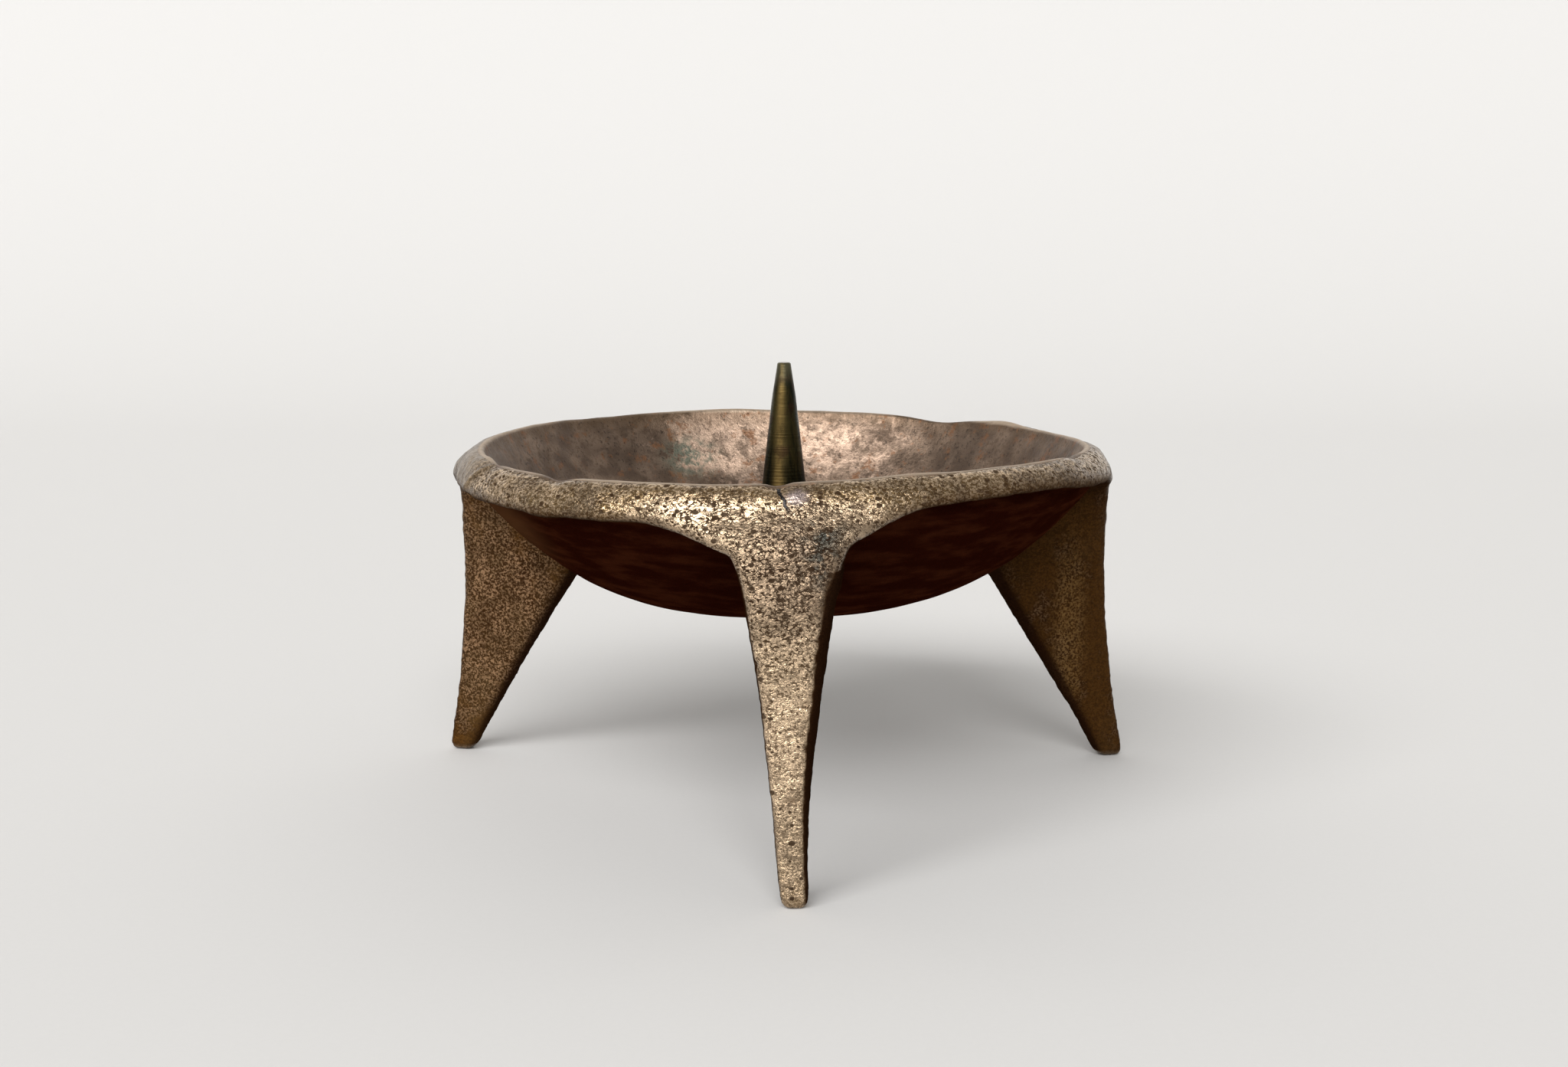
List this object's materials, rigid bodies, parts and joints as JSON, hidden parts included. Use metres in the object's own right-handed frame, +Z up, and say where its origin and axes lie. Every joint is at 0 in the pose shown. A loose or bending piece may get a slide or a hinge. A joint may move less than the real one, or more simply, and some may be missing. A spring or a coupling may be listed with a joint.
{
  "type": "candlestick",
  "caption": "Low cast candle holder: a shallow round bowl with a heavy wavy pitted rim on three blade legs, and a cone pricket in the middle.",
  "frame": {"origin": "on the table, under the middle of the whole piece's bounding box", "axes": "+Z up along the pricket, -Y towards the front leg, +X to the right as seen from the front leg"},
  "size_m": [0.138, 0.135, 0.082],
  "materials": {
    "dark_bronze": "smooth dark brown patina",
    "pitted_bronze": "coarsely pitted casting, rubbed golden on its high places",
    "patinated_brass": "turned, dark green-brown patina",
    "plain_brass": "dull brass"
  },
  "bodies": {
    "root": {"bowl": "dark_bronze", "rim_band": "pitted_bronze", "leg_front": "pitted_bronze", "leg_left": "pitted_bronze", "leg_right": "pitted_bronze", "pricket": "patinated_brass", "pricket_washer": "plain_brass", "pricket_screw": "plain_brass"}
  },
  "joints": []
}
